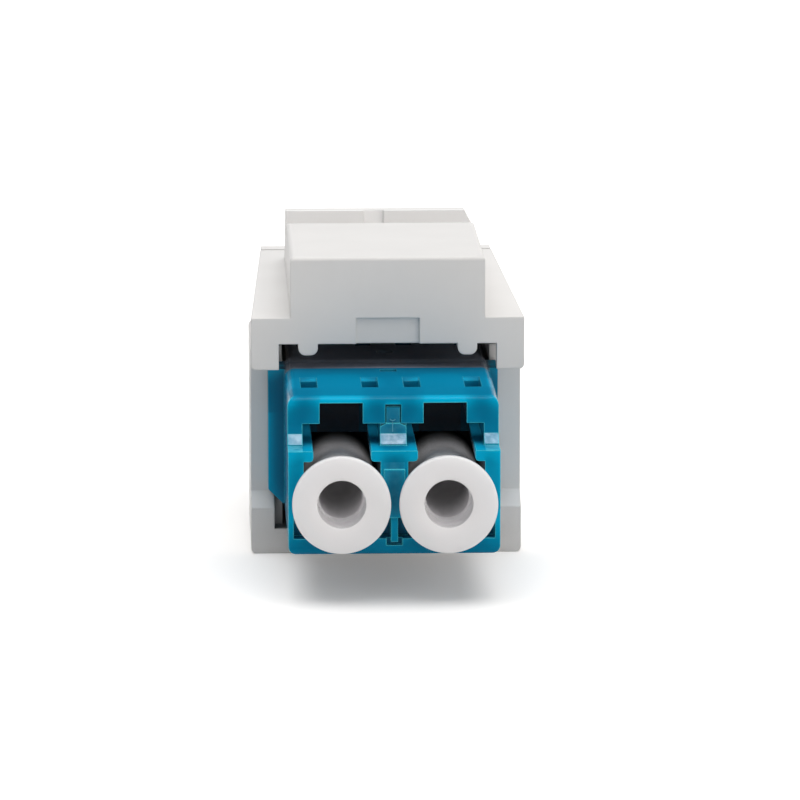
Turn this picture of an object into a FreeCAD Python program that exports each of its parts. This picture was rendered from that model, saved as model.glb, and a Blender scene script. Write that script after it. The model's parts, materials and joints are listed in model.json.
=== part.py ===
import FreeCAD, Part
import os

# Keystone fibre adapter with two channels, sizes in millimetres.
# X runs across the part, Y from the cable side to the panel side, Z up from the foot.
# Y is measured from the mid plane of the adapter and shifted to the part's middle at the end.

Vec = FreeCAD.Vector

# Optical interface
CHANNEL_PITCH = 6.25
AXIS_HEIGHT = 6.25
FERRULE_DIAMETER = 1.25

# Adapter body
ADAPTER_WIDTH = 12.7
ADAPTER_HALF_LENGTH = 14.25
ADAPTER_TOP = 5.94
ADAPTER_BOTTOM = -3.36
ADAPTER_CORNER = 0.6
UPPER_SET_BACK = 2.2
LEDGE_DEPTH = 1.65
LEDGE_LEVEL = 3.02
RAMP_TOP_LEVEL = 3.66
RAMP_RISER = 0.1

# Port section, measured from the channel axis
PLUG_HALF_WIDTH = 2.3
PLUG_CEILING = 2.37
PLUG_FLOOR = -1.04
POCKET_HALF_WIDTH = 2.91
POCKET_FLOOR = -2.32
POCKET_DEPTH = 1.0
RAIL_HALF_GAP = 1.72
RAIL_CORNER = 0.2
LATCH_HALF_WIDTH = 2.33
LATCH_CEILING = 4.28
SLOT_HALF_WIDTH = 1.3
SLOT_CEILING = 5.52
LATCH_DEPTH = 9.6
WEB_HALF_THICKNESS = 2.0

# Latch windows through the adapter's top
WINDOW_OFFSET = 1.85
WINDOW_WIDTH = 1.0
WINDOW_START = 5.2
WINDOW_END = 8.35
WINDOW_SLOPE_RUN = 0.35
WINDOW_SLOPE_DROP = 0.2

# Small marks of the moulding on the port face
CENTRE_GROOVE_HALF = 0.47
CENTRE_GROOVE_DEPTH = 0.15
CENTRE_GROOVE_TOP = 5.42
NECK_HALF = 0.42
NECK_TOP = 5.3
NECK_SET_BACK = 0.05
NECK_SHOULDER = 0.19
STEM_PANEL_HALF = 0.62
STEM_PANEL_RISE = 0.08
STEM_PANEL_TOP = 1.9
FOOT_NOTCH_HALF = 0.48
FOOT_NOTCH_DROP = 0.4
FOOT_NOTCH_DEPTH = 0.4
TOP_DIMPLE_WIDTH = 1.0
TOP_DIMPLE_LENGTH = 0.7
TOP_DIMPLE_DEPTH = 0.8
TOP_DIMPLE_START = 10.6

# Wings at the adapter's middle, which stop on the frame
WING_LEFT = 7.35
WING_RIGHT = 6.85
WING_TOP = 5.69
WING_BOTTOM = -2.75
WING_CHAMFER = 0.9
WING_REAR = 1.3
WING_FRONT = 1.45

# Sleeve seats and sleeves
SEAT_OUTER = 2.55
SEAT_SET_BACK = 8.05
SEAT_LIP = 0.4
SEAT_LIP_BORE = 1.4
SLEEVE_WALL = 0.18
SLEEVE_END_PLAY = 0.1
SLEEVE_SLIT = 0.35
SLEEVE_PLAY = 0.04
PEG_RADIUS = 0.4
PEG_LENGTH = 0.8
PEG_OFFSET = 1.5
PEG_PLAY = 0.03

# Dust caps
CAP_RING_DIAMETER = 5.9
CAP_RING_THICKNESS = 0.5
CAP_STAND_OFF = 1.0
CAP_SHANK_DIAMETER = 4.4
CAP_END_GAP = 0.35
CAP_MOUTH_DIAMETER = 2.9
CAP_MOUTH_DEPTH = 2.2
CAP_HOLE_DIAMETER = 2.7
CAP_HOLE_DEPTH = 8.0
CAP_WEB = 1.0
CAP_SOCKET_DIAMETER = 2.8
CAP_SPLAY = 0.07
CAP_EDGE = 0.15

# Frame
FRAME_HALF_WIDTH = 8.4
FRAME_FIT = 0.1
FLOOR_THICKNESS = 1.58
WALL_TOP = 12.95
FRAME_REAR = 0.25
POST_TOP = 2.88
POST_INNER = 6.95
POST_SLOPE_RISE = 0.9
WING_SEAT_PLAY = 0.05
SHOULDER = 11.05
PANEL_GROOVE = 2.0
PANEL_GROOVE_DEPTH = 1.2
NOSE_HALF_WIDTH = 7.45
NOSE_TOP = 13.4
NOSE_MOUTH_HALF = 6.75
NOSE_MOUTH_FLOOR = 2.3
NOSE_MOUTH_TOP = 12.75
NOSE_END = 21.25
BRIDGE_THICKNESS = 1.35
FRAME_EDGE = 0.35

# Press lever
LEVER_REAR = -2.75
LEVER_UNDERSIDE = 13.75
LEVER_THICKNESS = 1.6
LEVER_RISE = 0.7
LEVER_GAP = 0.05
ROOT_THICKNESS = 1.1
ROOT_LENGTH = 2.4
BLOCK_HALF_WIDTH = 5.98
BLOCK_TOP = 19.15
BLOCK_EDGE = 0.25
TOOTH_RISE = 0.45
TOOTH_FLAT = 1.1
TOOTH_RUN = 3.4
TOOTH_GROOVE_DROP = 1.1
TOOTH_NOTCH_LEFT = -1.0
TOOTH_NOTCH_RIGHT = 0.28
TOOTH_NOTCH_DEPTH = 0.3
TOOTH_END_CUT = 0.55
CORE_HALF_WIDTH = 4.7
CORE_WALL = 1.4
CORE_ROOF = 1.35
CORE_RIB = 0.9
RECESS_HALF_WIDTH = 1.95
RECESS_DEPTH = 0.2
NUB_OFFSET = 4.9
NUB_WIDTH = 1.2
NUB_DROP = 0.7
NUB_LENGTH = 1.4
TAB_INNER = 6.7
TAB_BOTTOM = 12.15
TAB_THICKNESS = 1.0
TAB_CORNER = 0.3

CHANNELS = (-CHANNEL_PITCH / 2, CHANNEL_PITCH / 2)
SEAT_REACH = ADAPTER_HALF_LENGTH - SEAT_SET_BACK
SLEEVE_REACH = SEAT_REACH - SEAT_LIP - SLEEVE_END_PLAY
CAP_FRONT = ADAPTER_HALF_LENGTH + CAP_STAND_OFF + CAP_RING_THICKNESS
CAP_LENGTH = CAP_FRONT - WEB_HALF_THICKNESS - CAP_END_GAP
MIDDLE_SHIFT = -(NOSE_END - CAP_FRONT) / 2


def prism_along_y(points, start, end):
    """Extrude a closed profile given as (x, z) pairs from y start to y end."""
    corners = [Vec(x, start, z) for x, z in points]
    wire = Part.makePolygon(corners + corners[:1])
    return Part.Face(wire).extrude(Vec(0, end - start, 0))


def prism_along_x(points, start, end):
    """Extrude a closed profile given as (y, z) pairs from x start to x end."""
    corners = [Vec(start, y, z) for y, z in points]
    wire = Part.makePolygon(corners + corners[:1])
    return Part.Face(wire).extrude(Vec(end - start, 0, 0))


def prism_along_z(points, start, end):
    """Extrude a closed outline given as (x, y) pairs from z start to z end."""
    corners = [Vec(x, y, start) for x, y in points]
    wire = Part.makePolygon(corners + corners[:1])
    return Part.Face(wire).extrude(Vec(0, 0, end - start))


def block(x_low, x_high, y_low, y_high, z_low, z_high):
    """Return a plain cutter or pad between two corners."""
    size = (x_high - x_low, y_high - y_low, z_high - z_low)
    return Part.makeBox(size[0], size[1], size[2], Vec(x_low, y_low, z_low))


def edges_where(shape, test):
    """List the straight edges whose two end points both pass the test."""
    found = []
    for edge in shape.Edges:
        ends = [vertex.Point for vertex in edge.Vertexes]
        if len(ends) == 2 and all(test(point) for point in ends):
            found.append(edge)
    return found


def near(value, target):
    """Tell whether two sizes agree to a micrometre."""
    return abs(value - target) < 1e-3


def tube(outer, bore, start, end, centre_x, centre_z):
    """Return a tube along Y between two depths."""
    length = end - start
    place = Vec(centre_x, start, centre_z)
    along = Vec(0, 1, 0)
    wall = Part.makeCylinder(outer / 2, length, place, along)
    return wall.cut(Part.makeCylinder(bore / 2, length, place, along))


def port_profile(axis_x):
    """Return the stepped port section with rounded rails, latch room and lever slot."""
    broken = RAIL_CORNER * 0.3
    right = [
        (PLUG_HALF_WIDTH, PLUG_FLOOR),
        (PLUG_HALF_WIDTH, PLUG_CEILING),
        (RAIL_HALF_GAP + RAIL_CORNER, PLUG_CEILING),
        (RAIL_HALF_GAP + broken, PLUG_CEILING + broken),
        (RAIL_HALF_GAP, PLUG_CEILING + RAIL_CORNER),
        (RAIL_HALF_GAP, LEDGE_LEVEL - broken),
        (RAIL_HALF_GAP + broken, LEDGE_LEVEL),
        (LATCH_HALF_WIDTH, LEDGE_LEVEL),
        (LATCH_HALF_WIDTH, LATCH_CEILING),
        (SLOT_HALF_WIDTH, LATCH_CEILING),
        (SLOT_HALF_WIDTH, SLOT_CEILING),
    ]
    left = [(-x, z) for x, z in reversed(right)]
    return [(axis_x + x, AXIS_HEIGHT + z) for x, z in right + left]


def plug_room(axis_x):
    """Return the section of the deep part of a port below its rails."""
    half = PLUG_HALF_WIDTH
    low = AXIS_HEIGHT + POCKET_FLOOR
    high = AXIS_HEIGHT + PLUG_CEILING
    return [(axis_x - half, low), (axis_x + half, low), (axis_x + half, high), (axis_x - half, high)]


def window_profile():
    """Return a latch window seen from the side, with its far edge sloped."""
    near_edge = -ADAPTER_HALF_LENGTH + WINDOW_START
    far_edge = -ADAPTER_HALF_LENGTH + WINDOW_END
    top = AXIS_HEIGHT + ADAPTER_TOP
    low = AXIS_HEIGHT + LATCH_CEILING - WINDOW_SLOPE_DROP
    return [
        (near_edge, low), (far_edge, low), (far_edge, top - WINDOW_SLOPE_DROP),
        (far_edge + WINDOW_SLOPE_RUN, top), (far_edge + WINDOW_SLOPE_RUN, top + 1), (near_edge, top + 1),
    ]


def adapter_shell(wing_depth):
    """Return one adapter half before its ports are cut, reaching toward negative Y."""
    face = -ADAPTER_HALF_LENGTH
    upper = face + UPPER_SET_BACK
    half = ADAPTER_WIDTH / 2
    top = AXIS_HEIGHT + ADAPTER_TOP
    bottom = AXIS_HEIGHT + ADAPTER_BOTTOM
    profile = [
        (0, bottom),
        (face, bottom),
        (face, AXIS_HEIGHT + LEDGE_LEVEL),
        (face + LEDGE_DEPTH, AXIS_HEIGHT + LEDGE_LEVEL),
        (face + LEDGE_DEPTH, AXIS_HEIGHT + LEDGE_LEVEL + RAMP_RISER),
        (upper, AXIS_HEIGHT + RAMP_TOP_LEVEL),
        (upper, top),
        (0, top),
    ]
    shell = prism_along_x(profile, -half, half)
    levels = (top, bottom)
    corners = edges_where(
        shell,
        lambda p: near(abs(p.x), half) and any(near(p.z, level) for level in levels),
    )
    long_edges = [edge for edge in corners if near(edge.Vertexes[0].Z, edge.Vertexes[1].Z)]
    shell = shell.makeFillet(ADAPTER_CORNER, long_edges)
    wing_top = AXIS_HEIGHT + WING_TOP
    wing_low = AXIS_HEIGHT + WING_BOTTOM
    wing = [
        (-WING_LEFT + WING_CHAMFER, wing_low),
        (WING_RIGHT - WING_CHAMFER, wing_low),
        (WING_RIGHT, wing_low + WING_CHAMFER),
        (WING_RIGHT, wing_top),
        (-WING_LEFT, wing_top),
        (-WING_LEFT, wing_low + WING_CHAMFER),
    ]
    return shell.fuse(prism_along_y(wing, -wing_depth, 0))


def face_marks():
    """Return the cutters for the small marks on the port face and the adapter's top."""
    face = -ADAPTER_HALF_LENGTH
    upper = face + UPPER_SET_BACK
    axis = AXIS_HEIGHT
    top = axis + ADAPTER_TOP
    cutters = [
        block(-CENTRE_GROOVE_HALF, CENTRE_GROOVE_HALF, upper - 1, upper + CENTRE_GROOVE_DEPTH,
              axis + LATCH_CEILING, axis + CENTRE_GROOVE_TOP),
        block(-FOOT_NOTCH_HALF, FOOT_NOTCH_HALF, face - 1, face + FOOT_NOTCH_DEPTH,
              axis + POCKET_FLOOR - FOOT_NOTCH_DROP, axis + POCKET_FLOOR + FOOT_NOTCH_DROP),
        block(-TOP_DIMPLE_WIDTH / 2, TOP_DIMPLE_WIDTH / 2, face + TOP_DIMPLE_START,
              face + TOP_DIMPLE_START + TOP_DIMPLE_LENGTH, top - TOP_DIMPLE_DEPTH, top + 1),
    ]
    divider = CHANNEL_PITCH / 2 - LATCH_HALF_WIDTH
    for side in (-1, 1):
        shoulder = [
            (side * NECK_HALF, axis + LATCH_CEILING),
            (side * (divider + NECK_SHOULDER), axis + LATCH_CEILING),
            (side * (divider + NECK_SHOULDER), axis + LATCH_CEILING - NECK_SHOULDER),
            (side * divider, axis + LATCH_CEILING - NECK_SHOULDER),
        ]
        cutters.append(prism_along_y(shoulder, upper - 1, upper + CENTRE_GROOVE_DEPTH))
    return cutters


def adapter_half(wing_depth, with_pegs):
    """Return one adapter half with its two ports, latch windows and sleeve seats."""
    face = -ADAPTER_HALF_LENGTH
    half = adapter_shell(wing_depth)
    bore = FERRULE_DIAMETER + 2 * SLEEVE_WALL + 2 * SLEEVE_PLAY
    cutters = face_marks()
    for axis_x in CHANNELS:
        cutters.append(prism_along_y(port_profile(axis_x), face - 1, face + LATCH_DEPTH))
        cutters.append(prism_along_y(plug_room(axis_x), face - 1, -WEB_HALF_THICKNESS))
        cutters.append(block(axis_x - POCKET_HALF_WIDTH, axis_x + POCKET_HALF_WIDTH, face - 1,
                             face + POCKET_DEPTH, AXIS_HEIGHT + POCKET_FLOOR, AXIS_HEIGHT + PLUG_FLOOR))
        for side in (-1, 1):
            middle = axis_x + side * WINDOW_OFFSET
            window = window_profile()
            cutters.append(prism_along_x(window, middle - WINDOW_WIDTH / 2, middle + WINDOW_WIDTH / 2))
    rib_half = CHANNEL_PITCH / 2 - POCKET_HALF_WIDTH
    rib = block(-rib_half, rib_half, face, face + FOOT_NOTCH_DEPTH + 0.2,
                AXIS_HEIGHT + POCKET_FLOOR - FOOT_NOTCH_DROP / 2, AXIS_HEIGHT + PLUG_FLOOR)
    upper = face + UPPER_SET_BACK
    neck = block(-NECK_HALF, NECK_HALF, upper + NECK_SET_BACK, upper + 2 * CENTRE_GROOVE_DEPTH,
                 AXIS_HEIGHT + LATCH_CEILING - NECK_SHOULDER, AXIS_HEIGHT + NECK_TOP)
    panel = block(-STEM_PANEL_HALF, STEM_PANEL_HALF, face - STEM_PANEL_RISE, face + FOOT_NOTCH_DEPTH,
                  AXIS_HEIGHT + PLUG_FLOOR, AXIS_HEIGHT + STEM_PANEL_TOP)
    half = half.cut(cutters).fuse([rib, neck, panel])
    for axis_x in CHANNELS:
        seat = tube(SEAT_OUTER, bore, -SEAT_REACH, -WEB_HALF_THICKNESS, axis_x, AXIS_HEIGHT)
        lip = tube(SEAT_OUTER, SEAT_LIP_BORE, -SEAT_REACH, -SEAT_REACH + SEAT_LIP, axis_x, AXIS_HEIGHT)
        through = Part.makeCylinder(bore / 2, WEB_HALF_THICKNESS, Vec(axis_x, -WEB_HALF_THICKNESS, AXIS_HEIGHT),
                                    Vec(0, 1, 0))
        half = half.cut(through).fuse([seat, lip])
    for offset in (-PEG_OFFSET, PEG_OFFSET):
        place = Vec(0, 0, AXIS_HEIGHT + offset)
        if with_pegs:
            half = half.fuse(Part.makeCylinder(PEG_RADIUS, PEG_LENGTH, place, Vec(0, 1, 0)))
        else:
            socket = Part.makeCylinder(PEG_RADIUS + PEG_PLAY, PEG_LENGTH + PEG_PLAY, place, Vec(0, -1, 0))
            half = half.cut(socket)
    return half.removeSplitter()


def split_sleeve(axis_x):
    """Return one slit ceramic sleeve centred on the mid plane."""
    outer = FERRULE_DIAMETER + 2 * SLEEVE_WALL
    sleeve = tube(outer, FERRULE_DIAMETER, -SLEEVE_REACH, SLEEVE_REACH, axis_x, AXIS_HEIGHT)
    slit = block(axis_x - SLEEVE_SLIT / 2, axis_x + SLEEVE_SLIT / 2, -SLEEVE_REACH - 1, SLEEVE_REACH + 1,
                 AXIS_HEIGHT, AXIS_HEIGHT + outer)
    return sleeve.cut(slit)


def dust_cap(axis_x):
    """Return one dust cap for a rear port: ring, shank, blind hole and seat socket."""
    ring = CAP_RING_DIAMETER / 2
    shank = CAP_SHANK_DIAMETER / 2
    mouth = CAP_MOUTH_DIAMETER / 2
    hole = CAP_HOLE_DIAMETER / 2
    socket = CAP_SOCKET_DIAMETER / 2
    section = [
        (mouth + CAP_EDGE, 0),
        (ring - CAP_EDGE, 0),
        (ring, CAP_EDGE),
        (ring, CAP_RING_THICKNESS - CAP_EDGE),
        (ring - CAP_EDGE, CAP_RING_THICKNESS),
        (shank, CAP_RING_THICKNESS),
        (shank, CAP_LENGTH - 2 * CAP_EDGE),
        (shank - 2 * CAP_EDGE, CAP_LENGTH),
        (socket, CAP_LENGTH),
        (socket, CAP_HOLE_DEPTH + CAP_WEB),
        (0, CAP_HOLE_DEPTH + CAP_WEB),
        (0, CAP_HOLE_DEPTH),
        (hole, CAP_HOLE_DEPTH),
        (hole, CAP_MOUTH_DEPTH + CAP_EDGE),
        (mouth, CAP_MOUTH_DEPTH),
        (mouth, CAP_EDGE),
    ]
    corners = [Vec(axis_x + radius, -CAP_FRONT + depth, AXIS_HEIGHT) for radius, depth in section]
    face = Part.Face(Part.makePolygon(corners + corners[:1]))
    return face.revolve(Vec(axis_x, 0, AXIS_HEIGHT), Vec(0, 1, 0), 360)


def keystone_frame():
    """Return the frame: foot, walls, posts, panel groove, nose and the lever's root bridge."""
    inner = ADAPTER_WIDTH / 2 + FRAME_FIT
    wide = FRAME_HALF_WIDTH
    wall_rear = WING_FRONT + WING_SEAT_PLAY
    channel = [
        (-wide, 0), (wide, 0), (wide, WALL_TOP), (inner, WALL_TOP),
        (inner, FLOOR_THICKNESS), (-inner, FLOOR_THICKNESS), (-inner, WALL_TOP), (-wide, WALL_TOP),
    ]
    frame = prism_along_y(channel, wall_rear, SHOULDER)
    foot = [
        (-wide, 0), (wide, 0), (wide, POST_TOP), (POST_INNER, POST_TOP),
        (POST_INNER, FLOOR_THICKNESS), (-POST_INNER, FLOOR_THICKNESS), (-POST_INNER, POST_TOP), (-wide, POST_TOP),
    ]
    frame = frame.fuse(prism_along_y(foot, FRAME_REAR, wall_rear))
    slope = [(FRAME_REAR, POST_TOP), (wall_rear, POST_TOP), (wall_rear, POST_TOP + POST_SLOPE_RISE)]
    for side in (-1, 1):
        span = sorted((side * POST_INNER, side * wide))
        frame = frame.fuse(prism_along_x(slope, span[0], span[1]))
    seat_end = ADAPTER_HALF_LENGTH + FRAME_FIT
    bridge_rear = NOSE_END - BRIDGE_THICKNESS
    root_level = LEVER_UNDERSIDE + LEVER_RISE + LEVER_THICKNESS
    nose_profile = [
        (SHOULDER - CORE_WALL, 0), (NOSE_END, 0), (NOSE_END, root_level),
        (bridge_rear, root_level), (bridge_rear, NOSE_TOP), (SHOULDER, NOSE_TOP),
        (SHOULDER - CORE_WALL, WALL_TOP),
    ]
    nose = prism_along_x(nose_profile, -NOSE_HALF_WIDTH, NOSE_HALF_WIDTH)
    seat_low = AXIS_HEIGHT + ADAPTER_BOTTOM - FRAME_FIT
    seat_high = AXIS_HEIGHT + ADAPTER_TOP + FRAME_FIT
    seat = block(-inner, inner, SHOULDER - 2 * CORE_WALL, seat_end, seat_low, seat_high)
    mouth = block(-NOSE_MOUTH_HALF, NOSE_MOUTH_HALF, seat_end, NOSE_END + 1, NOSE_MOUTH_FLOOR, NOSE_MOUTH_TOP)
    groove = block(-wide, wide, SHOULDER, SHOULDER + PANEL_GROOVE, -1, PANEL_GROOVE_DEPTH)
    frame = frame.fuse(nose).cut([seat, mouth, groove]).removeSplitter()
    rounded = edges_where(frame, lambda p: near(abs(p.x), wide) and (near(p.z, 0) or near(p.z, WALL_TOP)))
    long_edges = [edge for edge in rounded if near(edge.Vertexes[0].Z, edge.Vertexes[1].Z)]
    long_edges = [edge for edge in long_edges if near(edge.Vertexes[0].X, edge.Vertexes[1].X)]
    return frame.makeFillet(FRAME_EDGE, long_edges)


def latch_lever():
    """Return the press lever: tapered plate, cored block, panel tooth, tabs and stop nubs."""
    rear = LEVER_REAR
    root = NOSE_END - BRIDGE_THICKNESS - LEVER_GAP
    low = LEVER_UNDERSIDE
    high = low + LEVER_THICKNESS
    root_high = high + LEVER_RISE
    thin_start = root - ROOT_LENGTH
    slope = LEVER_RISE / (NOSE_END - rear)
    plate_profile = [
        (rear, low),
        (thin_start, low + slope * (thin_start - rear)),
        (thin_start + LEVER_THICKNESS - ROOT_THICKNESS, root_high - ROOT_THICKNESS),
        (root, root_high - ROOT_THICKNESS),
        (root, high + slope * (root - rear)),
        (rear, high),
    ]
    plate = prism_along_x(plate_profile, -FRAME_HALF_WIDTH, FRAME_HALF_WIDTH)
    taper = (FRAME_HALF_WIDTH - NOSE_HALF_WIDTH) / (NOSE_END - rear)
    end_half = FRAME_HALF_WIDTH - taper * (root - rear)
    outline = [(-FRAME_HALF_WIDTH, rear), (FRAME_HALF_WIDTH, rear), (end_half, root), (-end_half, root)]
    plate = plate.common(prism_along_z(outline, 0, BLOCK_TOP))
    tooth_rear = SHOULDER + PANEL_GROOVE
    ramp_end = tooth_rear + TOOTH_FLAT + TOOTH_RUN
    block_low = low + LEVER_RISE
    groove_floor = BLOCK_TOP - TOOTH_GROOVE_DROP
    tooth_top = BLOCK_TOP + TOOTH_RISE
    block_profile = [
        (rear, block_low), (rear, BLOCK_TOP), (SHOULDER, BLOCK_TOP), (SHOULDER, groove_floor),
        (tooth_rear, groove_floor), (tooth_rear, tooth_top), (tooth_rear + TOOTH_FLAT, tooth_top),
        (ramp_end, high + LEVER_RISE / 2), (thin_start, block_low),
    ]
    press = prism_along_x(block_profile, -BLOCK_HALF_WIDTH, BLOCK_HALF_WIDTH)
    notch_profile = [
        (tooth_rear - 0.5, groove_floor), (tooth_rear, groove_floor),
        (tooth_rear + TOOTH_NOTCH_DEPTH, tooth_top), (tooth_rear + TOOTH_NOTCH_DEPTH, tooth_top + 1),
        (tooth_rear - 0.5, tooth_top + 1),
    ]
    notch = prism_along_x(notch_profile, TOOTH_NOTCH_LEFT, TOOTH_NOTCH_RIGHT)
    end_cut = [
        (BLOCK_HALF_WIDTH - TOOTH_END_CUT, tooth_top),
        (BLOCK_HALF_WIDTH, tooth_top - 2 * TOOTH_END_CUT),
        (BLOCK_HALF_WIDTH, tooth_top + 1),
        (BLOCK_HALF_WIDTH - TOOTH_END_CUT, tooth_top + 1),
    ]
    press = press.cut([notch, prism_along_y(end_cut, tooth_rear - 0.5, ramp_end + 1)])
    lever = plate.fuse(press)
    for side in (-1, 1):
        span = sorted((side * TAB_INNER, side * FRAME_HALF_WIDTH))
        tab = block(span[0], span[1], rear, rear + TAB_THICKNESS, TAB_BOTTOM, low + 0.2)
        outer_foot = edges_where(tab, lambda p: near(p.z, TAB_BOTTOM) and near(p.x, side * FRAME_HALF_WIDTH))
        tab = tab.makeFillet(TAB_CORNER, outer_foot)
        nub_half = NUB_WIDTH / 2
        nub_low = low - NUB_DROP
        centre = side * NUB_OFFSET
        nub = block(centre - nub_half, centre + nub_half, rear, rear + NUB_LENGTH, nub_low, low + 0.2)
        foot = edges_where(nub, lambda p: near(p.z, nub_low))
        foot = [edge for edge in foot if near(edge.Vertexes[0].X, edge.Vertexes[1].X)]
        nub = nub.makeFillet(nub_half * 0.75, foot)
        lever = lever.fuse([tab, nub])
    core_end = SHOULDER - CORE_WALL
    cores = []
    for side in (-1, 1):
        span = sorted((side * CORE_RIB / 2, side * CORE_HALF_WIDTH))
        cores.append(block(span[0], span[1], rear + CORE_WALL, core_end, low - 1, BLOCK_TOP - CORE_ROOF))
    recess = block(-RECESS_HALF_WIDTH, RECESS_HALF_WIDTH, rear - 1, rear + RECESS_DEPTH, low - 1, high)
    lever = lever.cut(cores + [recess]).removeSplitter()
    crest = edges_where(lever, lambda p: near(p.z, BLOCK_TOP) and (near(p.y, rear) or near(p.y, SHOULDER)))
    return lever.makeFillet(BLOCK_EDGE, crest)


def write_part(name, shape):
    """Move a finished piece to the part's own frame and write it."""
    placed = shape.translated(Vec(0, MIDDLE_SHIFT, 0))
    placed.exportStep("parts/" + name + ".step")


def build():
    """Make every piece once and write them all."""
    os.makedirs("parts", exist_ok=True)
    mid = Vec(0, 0, 0)
    along = Vec(0, 1, 0)
    write_part("keystone_frame", keystone_frame())
    write_part("latch_lever", latch_lever())
    write_part("adapter_rear_half", adapter_half(WING_REAR, True))
    write_part("adapter_front_half", adapter_half(WING_FRONT, False).mirror(mid, along))
    for side, axis_x in zip(("left", "right"), CHANNELS):
        write_part("split_sleeve_" + side, split_sleeve(axis_x))
        splayed = axis_x + (CAP_SPLAY if axis_x > 0 else -CAP_SPLAY)
        cap = dust_cap(splayed)
        write_part("dust_cap_rear_" + side, cap)
        write_part("dust_cap_front_" + side, cap.mirror(mid, along))


build()
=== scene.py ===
"""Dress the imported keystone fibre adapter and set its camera, floor and light."""

import json
import logging
import math
from collections.abc import Iterable
from dataclasses import dataclass, field, replace
from enum import Enum
from typing import Any

import bmesh
import bpy
from mathutils import Matrix, Vector

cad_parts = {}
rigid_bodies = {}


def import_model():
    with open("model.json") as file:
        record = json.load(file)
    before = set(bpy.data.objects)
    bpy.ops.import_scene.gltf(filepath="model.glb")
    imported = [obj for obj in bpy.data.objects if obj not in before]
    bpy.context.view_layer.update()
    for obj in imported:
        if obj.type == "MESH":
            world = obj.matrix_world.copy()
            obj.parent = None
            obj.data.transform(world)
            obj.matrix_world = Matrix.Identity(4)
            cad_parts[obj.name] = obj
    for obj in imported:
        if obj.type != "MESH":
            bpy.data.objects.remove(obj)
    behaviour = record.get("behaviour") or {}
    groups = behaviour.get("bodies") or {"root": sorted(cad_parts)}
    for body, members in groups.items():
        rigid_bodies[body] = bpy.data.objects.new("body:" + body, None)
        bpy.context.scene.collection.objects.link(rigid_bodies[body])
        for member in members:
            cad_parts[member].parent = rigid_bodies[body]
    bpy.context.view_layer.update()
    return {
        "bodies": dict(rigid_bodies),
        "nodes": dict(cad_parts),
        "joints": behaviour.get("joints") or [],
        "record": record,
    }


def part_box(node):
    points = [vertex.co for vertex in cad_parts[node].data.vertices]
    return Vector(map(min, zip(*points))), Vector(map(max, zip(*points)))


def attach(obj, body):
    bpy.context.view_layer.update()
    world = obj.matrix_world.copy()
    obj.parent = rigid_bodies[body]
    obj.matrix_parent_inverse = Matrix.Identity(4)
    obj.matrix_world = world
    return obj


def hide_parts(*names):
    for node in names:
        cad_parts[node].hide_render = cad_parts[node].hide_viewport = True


LOG = logging.getLogger("keystone_adapter")
MM = 0.001
Socket = bpy.types.NodeSocket
Colour = tuple[float, float, float]
Place = tuple[float, float, float]
Point = tuple[float, float]
Stop = tuple[float, float]
ColourBox = tuple[Place, Place, Colour]
LevelBox = tuple[Place, Place, float]

# Range of a noise that changes the surface, and its finer layers
NOISE_LOW = 0.35
NOISE_HIGH = 0.7
COARSE_DETAIL = 3.0
FINE_DETAIL = 2.0

# Rays that feel for edges and for hollows
BEVEL_SAMPLES = 6
HOLLOW_SAMPLES = 8

# Share of a box's half size at which its change is complete
BOX_FADE = 0.97

# Numbers of the colour sockets of a mix node
MIX_BASE = 6
MIX_OVER = 7
MIX_RESULT = 2

# Distances that weld a spun cap's seam and tell its zones apart
TINY = 0.001 * MM
SLACK = 0.01 * MM

# Degrees at which the bow on the neck has its points
BOW_TURNS = range(-80, 81, 20)


class Slot(Enum):
    """Material slots of the record, which this script does not use."""

    BLUE = "blue_adapter"
    CAP = "milky_cap"


class CapZone(Enum):
    """Zones of a dust cap, with the index of their material."""

    RING = 0
    HOLE = 1
    SHANK = 2


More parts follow.
